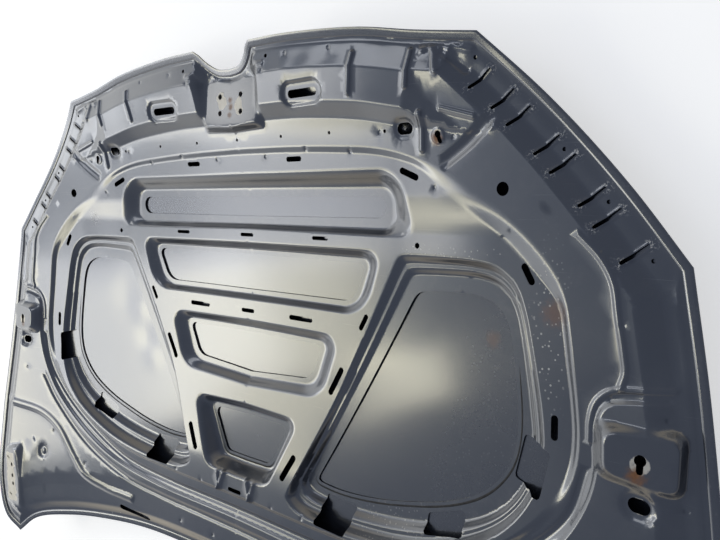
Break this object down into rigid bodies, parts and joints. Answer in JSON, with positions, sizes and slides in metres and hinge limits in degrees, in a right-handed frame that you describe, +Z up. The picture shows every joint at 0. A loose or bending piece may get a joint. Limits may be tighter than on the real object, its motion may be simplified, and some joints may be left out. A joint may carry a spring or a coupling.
{
  "type": "car bonnet",
  "caption": "Steel car bonnet lying inner side up, with a pressed inner frame, rounded openings, punched slots and a crowned outer skin with a folded edge.",
  "frame": {"origin": "centre of the bounding box in plan, at the lowest point of the outer skin", "axes": "+X across the bonnet to its right in the view, +Y to the front edge with the notch, +Z up out of the inner side"},
  "size_m": [1.524, 1.002, 0.1134],
  "materials": {
    "skin_paint": "gloss",
    "frame_paint": "gloss",
    "plate_steel": "satin",
    "nut_steel": "satin",
    "mastic": "matt"
  },
  "bodies": {
    "root": {"outer_skin": "skin_paint", "inner_frame": "frame_paint", "latch_plate": "plate_steel", "latch_nut_1": "nut_steel", "latch_nut_2": "nut_steel", "latch_nut_3": "nut_steel", "latch_nut_4": "nut_steel", "hinge_plate_right": "plate_steel", "hinge_nut_right_1": "nut_steel", "hinge_nut_right_2": "nut_steel", "hinge_nut_right_3": "nut_steel", "stud_plate_right": "plate_steel", "hinge_plate_left": "plate_steel", "hinge_nut_left_1": "nut_steel", "hinge_nut_left_2": "nut_steel", "hinge_nut_left_3": "nut_steel", "stud_plate_left": "plate_steel", "mastic_long_slot": "mastic", "mastic_front_trapezoid": "mastic", "mastic_middle_trapezoid": "mastic", "mastic_rear_trapezoid": "mastic", "mastic_side_right": "mastic", "mastic_side_left": "mastic"}
  },
  "joints": []
}
